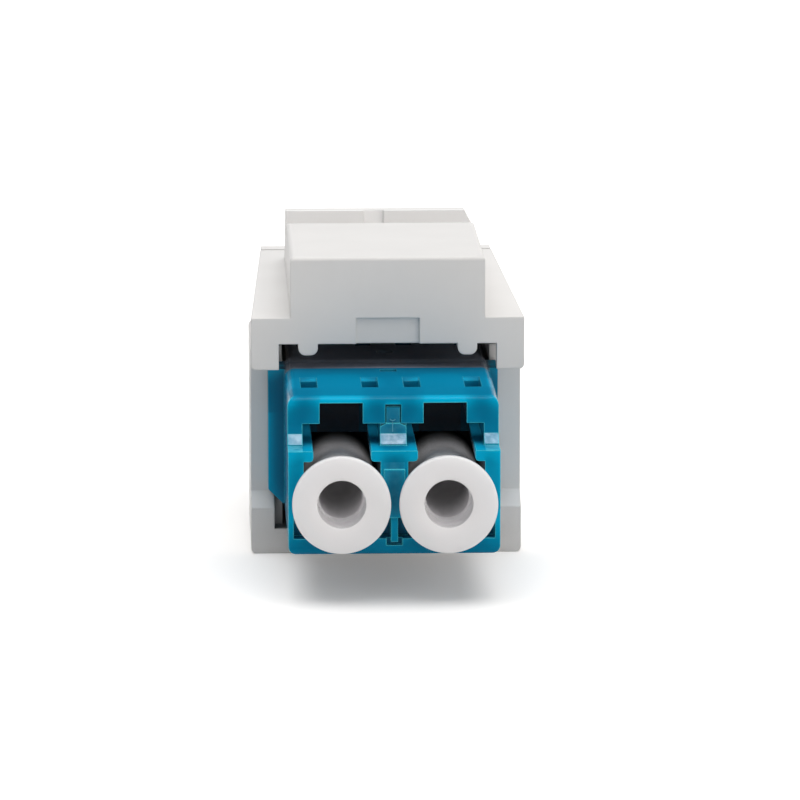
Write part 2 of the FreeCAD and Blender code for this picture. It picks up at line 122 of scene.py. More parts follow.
class NodeGraph:
    """A small helper that adds and links shader nodes of one material or world."""

    def __init__(self, tree: bpy.types.NodeTree) -> None:
        """Start from an empty node tree.

        Args:
            tree: the node tree to fill.
        """
        self.tree = tree
        tree.nodes.clear()

    def add(self, kind: str, **values: Any) -> bpy.types.Node:
        """Add a node and set its own properties.

        Args:
            kind: the node's type name without the ShaderNode prefix.
            values: properties of the node to set.

        Returns:
            The new node.
        """
        node = self.tree.nodes.new("ShaderNode" + kind)
        for name, value in values.items():
            setattr(node, name, value)
        return node

    def link(self, source: Socket, target: Socket) -> None:
        """Join two sockets.

        Args:
            source: the output socket.
            target: the input socket.
        """
        self.tree.links.new(source, target)

    def feed(self, target: Socket, value: Any) -> None:
        """Link an output to an input, or set the input to a constant.

        Args:
            target: the input socket.
            value: an output socket, a number or a row of numbers.
        """
        if isinstance(value, Socket):
            self.link(value, target)
        else:
            target.default_value = value

    def math(self, operation: str, *values: Any) -> Socket:
        """Work on numbers.

        Args:
            operation: the node's operation.
            values: outputs or numbers for the inputs, in order.

        Returns:
            The result.
        """
        node = self.add("Math", operation=operation)
        for target, value in zip(node.inputs, values):
            self.feed(target, value)
        return node.outputs["Value"]

    def vector(self, operation: str, *values: Any) -> Socket:
        """Work on vectors.

        Args:
            operation: the node's operation.
            values: outputs or rows of numbers for the inputs, in order.

        Returns:
            The result, a number for a dot product and a vector otherwise.
        """
        node = self.add("VectorMath", operation=operation)
        for target, value in zip(node.inputs, values):
            self.feed(target, value)
        return node.outputs["Value" if operation == "DOT_PRODUCT" else "Vector"]

    def axes(self, vector: Socket) -> tuple[Socket, Socket, Socket]:
        """Split a vector.

        Args:
            vector: the vector.

        Returns:
            Its X, Y and Z.
        """
        node = self.add("SeparateXYZ")
        self.link(vector, node.inputs["Vector"])
        return node.outputs["X"], node.outputs["Y"], node.outputs["Z"]

    def span(
        self,
        value: Socket,
        start: float,
        end: float,
        low: float = 0.0,
        high: float = 1.0,
        smooth: bool = False,
    ) -> Socket:
        """Map one range of a value to another and hold it at both ends.

        Args:
            value: the value to map.
            start: where the result is low.
            end: where the result is high.
            low: the result at the start.
            high: the result at the end.
            smooth: whether the ends ease in and out.

        Returns:
            The mapped value.
        """
        node = self.add("MapRange", interpolation_type="SMOOTHSTEP" if smooth else "LINEAR")
        self.link(value, node.inputs["Value"])
        node.inputs["From Min"].default_value = start
        node.inputs["From Max"].default_value = end
        node.inputs["To Min"].default_value = low
        node.inputs["To Max"].default_value = high
        return node.outputs["Result"]

    def noise(self, place: Socket, scale: float, detail: float) -> Socket:
        """Add a noise.

        Args:
            place: the coordinates.
            scale: waves per metre.
            detail: number of finer layers.

        Returns:
            The noise value.
        """
        node = self.add("TexNoise")
        node.inputs["Scale"].default_value = scale
        node.inputs["Detail"].default_value = detail
        self.link(place, node.inputs["Vector"])
        return node.outputs["Fac"]

    def ramp(self, value: Socket, stops: Iterable[tuple[float, Colour]]) -> Socket:
        """Turn a value into a colour.

        Args:
            value: the value, from 0 to 1.
            stops: values with their colours, in rising order.

        Returns:
            The colour.
        """
        node = self.add("ValToRGB")
        self.link(value, node.inputs["Fac"])
        rows = list(stops)
        elements = node.color_ramp.elements
        while len(elements) < len(rows):
            elements.new(0.5)
        for element, (position, colour) in zip(elements, rows):
            element.position = position
            element.color = (*colour, 1.0)
        return node.outputs["Color"]

    def curve(self, value: Socket, stops: Iterable[Stop]) -> Socket:
        """Turn a value into a grey level.

        Args:
            value: the value, from 0 to 1.
            stops: values with their levels, in rising order.

        Returns:
            The level.
        """
        return self.ramp(value, [(position, (level, level, level)) for position, level in stops])

    def blend(self, share: Socket | float, base: Any, over: Any, kind: str = "MIX") -> Socket:
        """Lay one colour over another.

        Args:
            share: how much of the upper colour shows.
            base: the lower colour.
            over: the upper colour.
            kind: the node's way of blending.

        Returns:
            The blended colour.
        """
        node = self.add("Mix", data_type="RGBA", blend_type=kind)
        self.feed(node.inputs["Factor"], share)
        self.feed(node.inputs[MIX_BASE], base)
        self.feed(node.inputs[MIX_OVER], over)
        return node.outputs[MIX_RESULT]


@dataclass(frozen=True)
class MouldedFinish:
    """A moulded plastic with faint mottling, fine grain, softly broken edges and, where given, painted
    highlights, glow and shade.

    A box is given by the distances of its middle from the main planes, half of its size, both in
    millimetres, and what holds inside it. A stop is a place with its level. The open faces are Y of
    the middle between the end faces, and the distances from it between which the painted shade in
    hollows is held back.
    """

    name: str
    colour: Colour
    mottle: Colour
    roughness: float
    specular: float
    mottle_scale: float = 260.0
    grain_scale: float = 5200.0
    grain_depth: float = 0.04
    grain_height: float = 0.02 * MM
    patch_noise_scale: float = 2200.0
    scatter: float = 0.0
    scatter_reach: float = 1.0 * MM
    edge_radius: float = 0.12 * MM
    # Painted highlight on the edges
    edge_highlight_colour: Colour | None = None
    edge_highlight_share: float = 0.6
    edge_turn: tuple[float, float] = (0.99, 0.85)
    edge_reach: tuple[float, float] = (10.6 * MM, 11.6 * MM)
    edge_least: float = 0.3
    # Painted glow on thin walls, set by height
    thin_glow_colour: Colour | None = None
    thin_reach: float = 0.9 * MM
    thin_least: float = 0.3
    thin_glow_levels: tuple[Stop, ...] = ()
    matt_top: float | None = None
    matt_turn: tuple[float, float] = (0.85, 0.97)
    # Painted shade in hollows
    hollows: tuple[Stop, ...] = ()
    hollow_reach: float = 5.0 * MM
    hollow_shade_colour: Colour = (0.0, 0.0, 0.0)
    open_faces: tuple[float, float, float] | None = None
    open_level: float = 11.5 * MM
    open_slope: float = 9.0
    open_shade: float = 0.25
    # Boxes of painted highlight, and of lighter patches
    patches_and_painted_highlights: tuple[ColourBox, ...] = ()
    patch_shares: tuple[float, float] = (0.25, 0.75)
    # Boxes of painted shade
    painted_shade_boxes: tuple[ColourBox, ...] = ()
    painted_shade_shares: tuple[float, float] = (0.58, 0.66)
    # Boxes of painted light, where the painted hollow shade is held back
    painted_lit_rooms: tuple[LevelBox, ...] = ()

    def material(self) -> bpy.types.Material:
        """Build the finish as a node material.

        Returns:
            The new material.
        """
        material = bpy.data.materials.new(self.name)
        material.use_nodes = True
        graph = NodeGraph(material.node_tree)
        output = graph.add("OutputMaterial")
        shader = graph.add("BsdfPrincipled")
        place = graph.add("TexCoord").outputs["Object"]
        bevel = graph.add("Bevel", samples=BEVEL_SAMPLES)
        bevel.inputs["Radius"].default_value = self.edge_radius
        rounded = bevel.outputs["Normal"]
        colour = self.surface_colour(graph, place)
        # Painted highlights and lighter patches in boxes
        for box in self.patches_and_painted_highlights:
            colour = self.changed_patch(graph, colour, place, box, self.patch_shares)
        # Painted glow on thin walls
        if self.thin_glow_colour:
            colour = self.painted_wall_glow(graph, colour, place)
        # Painted highlights on the edges
        if self.edge_highlight_colour:
            colour = self.painted_edge_highlights(graph, colour, place, rounded)
        # Painted shade in boxes
        for box in self.painted_shade_boxes:
            colour = self.changed_patch(graph, colour, place, box, self.painted_shade_shares)
        # Painted shade in hollows
        if self.hollows:
            colour = self.shaded_hollows(graph, colour, place)
        graph.link(colour, shader.inputs["Base Color"])
        shader.inputs["Roughness"].default_value = self.roughness
        shader.inputs["Specular IOR Level"].default_value = self.specular
        shader.inputs["Subsurface Weight"].default_value = self.scatter
        shader.inputs["Subsurface Radius"].default_value = (1.0, 1.0, 1.0)
        shader.inputs["Subsurface Scale"].default_value = self.scatter_reach
        graph.link(self.grained(graph, place, rounded), shader.inputs["Normal"])
        if self.matt_top is not None:
            self.dull_top(graph, shader, rounded)
        # Painted glow, given to the milky caps only
        self.add_painted_glow(graph, shader, place)
        graph.link(shader.outputs["BSDF"], output.inputs["Surface"])
        return material

    def add_painted_glow(self, graph: NodeGraph, shader: bpy.types.Node, place: Socket) -> None:
        """Leave the shader alone: an opaque plastic gets no painted glow.

        Args:
            graph: the material's nodes; not used here.
            shader: the shader that would give the painted glow off; not used here.
            place: the Object coordinates; not used here.
        """

    def surface_colour(self, graph: NodeGraph, place: Socket) -> Socket:
        """Mottle the colour faintly, as a thick moulding has.

        Args:
            graph: the material's nodes.
            place: the Object coordinates.

        Returns:
            The colour output.
        """
        mottling = graph.noise(place, self.mottle_scale, COARSE_DETAIL)
        return graph.ramp(mottling, ((NOISE_LOW, self.colour), (NOISE_HIGH, self.mottle)))

    def changed_patch(
        self, graph: NodeGraph, colour: Socket, place: Socket, box: ColourBox, shares: tuple[float, float]
    ) -> Socket:
        """Change the colour inside a box: a painted highlight, a painted shade or a lighter patch.

        Args:
            graph: the material's nodes.
            colour: the colour around the box.
            place: the Object coordinates.
            box: the box's middle, half of its size and the colour inside.
            shares: least and most of that colour that shows.

        Returns:
            The colour output.
        """
        middle, half, changed = box
        patch_noise = graph.noise(place, self.patch_noise_scale, COARSE_DETAIL)
        depth = graph.curve(patch_noise, ((NOISE_LOW, shares[0]), (NOISE_HIGH, shares[1])))
        share = graph.math("MULTIPLY", self.inside_box(graph, place, middle, half), depth)
        return graph.blend(share, colour, (*changed, 1.0))

    def inside_box(self, graph: NodeGraph, place: Socket, middle: Place, half: Place) -> Socket:
        """Tell the places inside a box and its mirror images from those outside them.

        Args:
            graph: the material's nodes.
            place: the Object coordinates.
            middle: distances of the box's middle from the three main planes, in millimetres.
            half: half of the box's size in millimetres.

        Returns:
            An output that is 1 inside the boxes and 0 outside them.
        """
        folded = graph.vector("ABSOLUTE", place)
        away = graph.vector("SUBTRACT", folded, [value * MM for value in middle])
        reach = graph.vector("ABSOLUTE", away)
        x, y, z = graph.axes(graph.vector("DIVIDE", reach, [value * MM for value in half]))
        farthest = graph.math("MAXIMUM", graph.math("MAXIMUM", x, y), z)
        return graph.span(farthest, 1.0, BOX_FADE)

    def dull_top(self, graph: NodeGraph, shader: bpy.types.Node, rounded: Socket) -> None:
        """Take the gloss off faces that look upward, which the mould leaves matt.

        Args:
            graph: the material's nodes.
            shader: the shader whose gloss is taken off.
            rounded: the normal that rounds over the edges.
        """
        upward = graph.axes(rounded)[2]
        dull = graph.span(upward, *self.matt_turn, low=self.roughness, high=self.matt_top)
        graph.link(dull, shader.inputs["Roughness"])

    def end_reach(self, graph: NodeGraph, place: Socket) -> Socket:
        """Measure how far a place lies from the middle between the end faces.

        Args:
            graph: the material's nodes.
            place: the Object coordinates.

        Returns:
            The distance along Y.
        """
        along = graph.axes(place)[1]
        return graph.math("ABSOLUTE", graph.math("SUBTRACT", along, self.open_faces[0]))

    def painted_edge_highlights(self, graph: NodeGraph, colour: Socket, place: Socket, rounded: Socket) -> Socket:
        """Paint a highlight on the thin edges, most of all near the end faces.

        Args:
            graph: the material's nodes.
            colour: the open surface's colour.
            place: the Object coordinates.
            rounded: the normal that rounds over the edges.

        Returns:
            The colour output.
        """
        flat = graph.add("NewGeometry").outputs["True Normal"]
        turn = graph.vector("DOT_PRODUCT", flat, rounded)
        share = graph.span(turn, *self.edge_turn, high=self.edge_highlight_share, smooth=True)
        near_end = graph.span(self.end_reach(graph, place), *self.edge_reach, low=self.edge_least)
        return graph.blend(graph.math("MULTIPLY", share, near_end), colour, (*self.edge_highlight_colour, 1.0))

    def painted_wall_glow(self, graph: NodeGraph, colour: Socket, place: Socket) -> Socket:
        """Paint a glow on thin walls and corners, set by height, in place of light from above passing
        through a tinted plastic.

        Args:
            graph: the material's nodes.
            colour: the colour of the thick places.
            place: the Object coordinates.

        Returns:
            The colour output.
        """
        depth = graph.add("AmbientOcclusion", samples=HOLLOW_SAMPLES, inside=True, only_local=True)
        depth.inputs["Distance"].default_value = self.thin_reach
        thinness = graph.span(depth.outputs["AO"], 1.0, self.thin_least, smooth=True)
        low = self.thin_glow_levels[0][0]
        high = self.thin_glow_levels[-1][0]
        height = graph.span(graph.axes(place)[2], low * MM, high * MM)
        level = graph.curve(height, [((at - low) / (high - low), glow) for at, glow in self.thin_glow_levels])
        return graph.blend(graph.math("MULTIPLY", thinness, level), colour, (*self.thin_glow_colour, 1.0))

    def shaded_hollows(self, graph: NodeGraph, colour: Socket, place: Socket) -> Socket:
        """Paint shade in deep hollows, toward a dark tone, but less in shallow ones in the open faces.

        Args:
            graph: the material's nodes.
            colour: the open surface's colour.
            place: the Object coordinates.

        Returns:
            The colour output.
        """
        occlusion = graph.add("AmbientOcclusion", samples=HOLLOW_SAMPLES)
        occlusion.inputs["Distance"].default_value = self.hollow_reach
        level = graph.curve(occlusion.outputs["AO"], self.hollows)
        if self.open_faces:
            level = self.kept_open(graph, level, place)
        # Painted light: the painted hollow shade is held back to a least level in these boxes
        for middle, half, least in self.painted_lit_rooms:
            lit = graph.math("MULTIPLY", self.inside_box(graph, place, middle, half), least)
            level = graph.math("MAXIMUM", level, lit)
        return graph.blend(level, (*self.hollow_shade_colour, 1.0), colour)

    def kept_open(self, graph: NodeGraph, level: Socket, place: Socket) -> Socket:
        """Hold back the painted shade in shallow hollows near the end faces and high up in the top light.

        Args:
            graph: the material's nodes.
            level: the share of the colour that the hollows leave.
            place: the Object coordinates.

        Returns:
            The raised share.
        """
        start, end = self.open_faces[1:]
        rise = graph.math("SUBTRACT", graph.axes(place)[2], self.open_level)
        above = graph.math("MAXIMUM", rise, 0.0)
        reach = graph.math("MULTIPLY_ADD", above, self.open_slope, self.end_reach(graph, place))
        shade = graph.span(reach, start, end, low=1.0, high=self.open_shade)
        mix = graph.add("Mix", data_type="FLOAT")
        mix.inputs["A"].default_value = 1.0
        graph.link(shade, mix.inputs["Factor"])
        graph.link(level, mix.inputs["B"])
        return mix.outputs["Result"]

    def grained(self, graph: NodeGraph, place: Socket, rounded: Socket) -> Socket:
        """Lay a fine grain over the broken edges.

        Args:
            graph: the material's nodes.
            place: the Object coordinates.
            rounded: the normal that rounds over the edges.

        Returns:
            The normal output.
        """
        bump = graph.add("Bump")
        bump.inputs["Strength"].default_value = self.grain_depth
        bump.inputs["Distance"].default_value = self.grain_height
        graph.link(graph.noise(place, self.grain_scale, FINE_DETAIL), bump.inputs["Height"])
        graph.link(rounded, bump.inputs["Normal"])
        return bump.outputs["Normal"]


@dataclass(frozen=True)
class MilkyCapFinish(MouldedFinish):
    """A milky cap plastic with painted shade by depth and in hollows and a painted glow, so that it looks
    white in the open and dark inside the port.
    """

    ring_front: float = 0.0
    direction: float = 1.0
    length: float = 13.4 * MM
    # Painted shade by depth
    painted_depth_shades: tuple[Stop, ...] = ()
    # Painted glow by depth, and its colour
    painted_glow_stops: tuple[Stop, ...] = ()
    painted_glow_colour: Colour = (1.0, 0.98, 1.0)

    def by_depth(self, graph: NodeGraph, place: Socket, stops: tuple[Stop, ...]) -> Socket:
        """Give a value that changes with the depth behind the ring's front.

        Args:
            graph: the material's nodes.
            place: the Object coordinates.
            stops: depths in millimetres with their values.

        Returns:
            The value as a colour output.
        """
        far_end = self.ring_front + self.direction * self.length
        depth = graph.span(graph.axes(place)[1], self.ring_front, far_end)
        return graph.curve(depth, [(at * MM / self.length, value) for at, value in stops])

    def surface_colour(self, graph: NodeGraph, place: Socket) -> Socket:
        """Paint shade on the mottled white by depth along the port axis.

        Args:
            graph: the material's nodes.
            place: the Object coordinates.

        Returns:
            The colour output.
        """
        mottled = MouldedFinish.surface_colour(self, graph, place)
        return graph.blend(1.0, mottled, self.by_depth(graph, place, self.painted_depth_shades), kind="MULTIPLY")

    def add_painted_glow(self, graph: NodeGraph, shader: bpy.types.Node, place: Socket) -> None:
        """Add a faint painted glow by depth on faces that look upward, in place of the light that a milky
        plastic carries inward.

        Args:
            graph: the material's nodes.
            shader: the shader that gives the light off.
            place: the Object coordinates.
        """
        if not self.painted_glow_stops:
            return
        normal = graph.add("NewGeometry").outputs["Normal"]
        upward = graph.math("MAXIMUM", graph.axes(normal)[2], 0.0)
        light = graph.math("MULTIPLY", self.by_depth(graph, place, self.painted_glow_stops), upward)
        shader.inputs["Emission Color"].default_value = (*self.painted_glow_colour, 1.0)
        graph.link(light, shader.inputs["Emission Strength"])


WHITE_FINISH = MouldedFinish(
    name="white_satin_moulding",
    colour=(0.785, 0.773, 0.76),
    mottle=(0.765, 0.753, 0.74),
    roughness=0.48,
    specular=0.25,
    # Painted shade in hollows and corners, held back near the end faces and high up
    hollows=((0.0, 0.2), (0.1, 0.22), (0.25, 0.55), (0.4, 1.0)),
    open_faces=(0.0, 20.0 * MM, 28.0 * MM),
    open_slope=12.0,
    # Painted light: the tooth's face is painted lighter than the rest of the white
    patches_and_painted_highlights=(((0.0, 10.45, 19.1), (6.1, 0.27, 0.62), (1.0, 1.0, 1.0)),),
    patch_shares=(0.58, 0.62),
)
BLUE_FINISH = MouldedFinish(
    name="petrol_blue_moulding",
    colour=(0.0, 0.175, 0.32),
    mottle=(0.0, 0.163, 0.298),
    roughness=0.14,
    specular=0.03,
    # Painted shade in hollows, down to a near black, held back near the end faces and high up
    hollows=((0.0, 0.0), (0.08, 0.05), (0.16, 0.42), (0.25, 0.56), (0.45, 0.78), (0.7, 1.0)),
    hollow_shade_colour=(0.06, 0.055, 0.055),
    open_faces=(-2.75 * MM, 12.2 * MM, 13.1 * MM),
    patches_and_painted_highlights=(
        # Lighter patches on the neck and its shoulder
        ((0.0, 15.0, 11.02), (0.4, 0.7, 0.46), (0.03, 0.24, 0.36)),
        ((0.0, 15.0, 10.25), (0.9, 0.7, 0.335), (0.04, 0.26, 0.37)),
        # Painted highlights: the whitish centre and side ramps and the lit side ledges
        ((0.0, 15.0, 9.63), (0.9, 0.7, 0.285), (0.64, 0.84, 1.0)),
        ((5.9, 15.0, 9.63), (0.43, 0.7, 0.285), (0.6, 0.79, 0.92)),
        ((5.9, 16.2, 9.27), (0.43, 0.84, 0.06), (0.14, 0.52, 0.62)),
        # A lighter patch on the stem
        ((0.0, 17.0, 6.9), (0.64, 0.3, 1.7), (0.03, 0.29, 0.45)),
    ),
    # Painted shade: dark lines around the neck, the top under the hood and the floors of the latch slots
    painted_shade_boxes=(
        ((0.0, 15.0, 11.59), (0.5, 0.7, 0.11), (0.0, 0.0, 0.02)),
        ((0.44, 15.0, 11.03), (0.05, 0.7, 0.45), (0.0, 0.02, 0.06)),
        ((0.0, 0.0, 12.0), (6.4, 5.3, 0.3), (0.38, 0.32, 0.34)),
        ((3.125, 9.5, 9.9), (1.3, 5.2, 1.9), (0.2, 0.13, 0.12)),
    ),
    # Painted light in the latch windows, around the neck and on the ledges beside the posts
    painted_lit_rooms=(
        ((0.0, 10.05, 11.45), (5.6, 1.85, 0.85), 0.9),
        ((0.0, 15.0, 11.1), (1.0, 0.7, 0.6), 0.8),
        ((5.15, 11.4, 9.95), (0.36, 4.0, 0.75), 0.9),
        ((1.05, 11.4, 9.95), (0.32, 4.0, 0.75), 0.9),
    ),
    matt_top=1.0,
    # Painted highlight along the rounded edges
    edge_highlight_colour=(0.12, 0.9, 1.0),
    edge_highlight_share=0.9,
    edge_radius=0.1 * MM,
    # Painted glow on thin walls, set by height
    thin_glow_colour=(0.0, 0.6, 0.95),
    thin_glow_levels=(
        (2.0, 0.0),
        (3.5, 0.12),
        (5.0, 0.6),
        (8.2, 0.65),
        (9.2, 0.65),
        (9.26, 0.3),
        (10.6, 0.14),
        (11.2, 0.22),
        (11.7, 0.5),
        (12.08, 0.6),
        (12.17, 0.25),
        (12.2, 0.0),
    ),
)
CERAMIC_FINISH = MouldedFinish(
    name="ground_zirconia",
    colour=(0.82, 0.8, 0.74),
    mottle=(0.78, 0.76, 0.7),
    roughness=0.15,
    specular=0.6,
    edge_radius=0.03 * MM,
)
# Raised marks on the neck, coloured a lighter blue as a painted highlight on them
NECK_MARK_FINISH = MouldedFinish(
    name="blue_neck_marks",
    colour=(0.1, 0.42, 0.56),
    mottle=(0.05, 0.32, 0.46),
    roughness=0.3,
    specular=0.2,
    edge_radius=0.01 * MM,
)
# Three copies of one milky white, set whiter in the hole and the shank than on the ring, each with its
# own painted shade by depth
CAP_FINISHES = {
    CapZone.RING: MilkyCapFinish(
        name="milky",
        colour=(0.88, 0.866, 0.872),
        mottle=(0.86, 0.846, 0.852),
        roughness=0.45,
        specular=0.25,
        # Painted shade: the ring's rim darker than its face
        painted_depth_shades=((0.0, 1.0), (0.02, 0.95), (0.07, 0.82), (0.5, 0.76), (13.4, 0.76)),
        scatter=0.8,
        scatter_reach=0.8 * MM,
    ),
    CapZone.HOLE: MilkyCapFinish(
        name="hole",
        colour=(0.97, 0.955, 0.97),
        mottle=(0.95, 0.935, 0.95),
        roughness=0.4,
        specular=0.25,
        # Painted shade: darker deeper in the hole
        painted_depth_shades=((0.0, 0.6), (0.8, 0.8), (2.0, 1.0), (2.3, 1.0), (2.5, 0.9), (7.0, 0.6), (8.0, 0.5)),
        # Painted glow by depth in the hole
        painted_glow_stops=(
            (0.0, 0.0), (0.6, 0.05), (1.8, 0.1), (2.25, 0.12),
            (2.4, 0.04), (4.0, 0.03), (7.0, 0.02), (8.0, 0.0),
        ),
        scatter=0.5,
    ),
    CapZone.SHANK: MilkyCapFinish(
        name="shank",
        colour=(0.98, 0.965, 0.98),
        mottle=(0.96, 0.945, 0.96),
        roughness=0.5,
        specular=0.1,
        # Painted shade: a little darker at the far end
        painted_depth_shades=((0.0, 1.0), (8.0, 1.0), (13.4, 0.9)),
        # Painted shade on the shank where it lies inside the port
        hollows=((0.0, 0.04), (0.07, 0.12), (0.18, 0.7), (0.3, 1.0)),
        # Painted glow by depth on the shank
        painted_glow_stops=(
            (0.0, 0.0), (3.5, 0.02), (5.2, 0.045), (6.4, 0.1), (7.4, 0.14),
            (8.2, 0.112), (9.2, 0.054), (10.2, 0.02), (11.2, 0.005), (12.2, 0.0),
        ),
        scatter=1.0,
        scatter_reach=4.0 * MM,
    ),
}


def new_piece(name: str, shape: bmesh.types.BMesh) -> bpy.types.Object:
    """Turn a finished shape into an object of the scene.

    Args:
        name: name of the object and its mesh.
        shape: the shape, which is freed.

    Returns:
        The new object.
    """
    mesh = bpy.data.meshes.new(name)
    shape.to_mesh(mesh)
    shape.free()
    piece = bpy.data.objects.new(name, mesh)
    bpy.context.scene.collection.objects.link(piece)
    return piece


def set_material(piece: bpy.types.Object, material: bpy.types.Material) -> None:
    """Give every slot of a piece the same material.

    Args:
        piece: the piece to dress.
        material: its material.
    """
    if not piece.material_slots:
        piece.data.materials.append(material)
    for held in piece.material_slots:
        held.material = material


@dataclass
class KeystoneHousing:
    """The white frame and its press lever, shown as the solids give them."""

    nodes: tuple[str, ...] = ("keystone_frame", "latch_lever")

    def dress(self, frame: dict[str, Any]) -> None:
        """Put the white finish on the frame and the lever.

        Args:
            frame: the loaded frame.
        """
        material = WHITE_FINISH.material()
        for name in self.nodes:
            set_material(frame["nodes"][name], material)
            LOG.info("dressed %s", name)


@dataclass
class AdapterCore:
    """The blue adapter halves with the ceramic sleeves between them."""

    halves: tuple[str, ...] = ("adapter_rear_half", "adapter_front_half")
    sleeves: tuple[str, ...] = ("split_sleeve_left", "split_sleeve_right")

    def dress(self, frame: dict[str, Any]) -> None:
        """Put the blue finish on the halves and the ceramic on the sleeves.

        Args:
            frame: the loaded frame.
        """
        blue = BLUE_FINISH.material()
        for name in self.halves:
            set_material(frame["nodes"][name], blue)
            LOG.info("dressed %s", name)
        ceramic = CERAMIC_FINISH.material()
        for name in self.sleeves:
            set_material(frame["nodes"][name], ceramic)
            LOG.info("dressed %s", name)


@dataclass
class NeckMark:
    """A thin raised mark on the neck between the two rear ports."""

    name: str
    path: tuple[Point, ...]
    half_width: float = 0.026 * MM
    front: float = -14.82 * MM
    back: float = -14.7 * MM

    def outline(self) -> list[Vector]:
        """Offset the path to both sides.

        Returns:
            The corners of the mark's front face, in order around it.
        """
        points = [Vector((x * MM, z * MM)) for x, z in self.path]
        left = []
        right = []
        for index, point in enumerate(points):
            before = points[max(index - 1, 0)]
            after = points[min(index + 1, len(points) - 1)]
            along = (after - before).normalized()
            aside = Vector((-along.y, along.x)) * self.half_width
            left.append(point + aside)
            right.append(point - aside)
        return [Vector((corner.x, self.front, corner.y)) for corner in left + right[::-1]]

    def build(self) -> None:
        """Extrude the outline into the neck and dress the mark."""
        shape = bmesh.new()
        count = len(self.path)
        corners = [shape.verts.new(corner) for corner in self.outline()]
        faces = []
        for index in range(count - 1):
            far = 2 * count - 1 - index
            around = (corners[index], corners[index + 1], corners[far - 1], corners[far])
            faces.append(shape.faces.new(around))
        grown = bmesh.ops.extrude_face_region(shape, geom=faces)
        moved = [item for item in grown["geom"] if isinstance(item, bmesh.types.BMVert)]
        bmesh.ops.translate(shape, vec=(0.0, self.back - self.front, 0.0), verts=moved)
        bmesh.ops.recalc_face_normals(shape, faces=shape.faces[:])
        piece = new_piece(self.name, shape)
        set_material(piece, NECK_MARK_FINISH.material())
        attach(piece, "housing")
        LOG.info("added %s", self.name)


def bow_path(middle: float, level: float, half: float, sag: float) -> tuple[Point, ...]:
    """List the points of a bow that hangs between its ends.

    Args:
        middle: X of the bow's middle in millimetres.
        level: Z that the bow hangs from in millimetres.
        half: half of the bow's full width in millimetres.
        sag: how far the middle hangs down in millimetres.

    Returns:
        The points as X and Z in millimetres.
    """
    turns = [math.radians(turn) for turn in BOW_TURNS]
    return tuple((middle + half * math.sin(turn), level - sag * math.cos(turn)) for turn in turns)


NECK_MARKS = (
    NeckMark("neck_line", ((-0.03, 10.02), (-0.03, 10.3), (-0.03, 10.62))),
    NeckMark("neck_bow", bow_path(middle=-0.03, level=10.8, half=0.15, sag=0.1)),
)


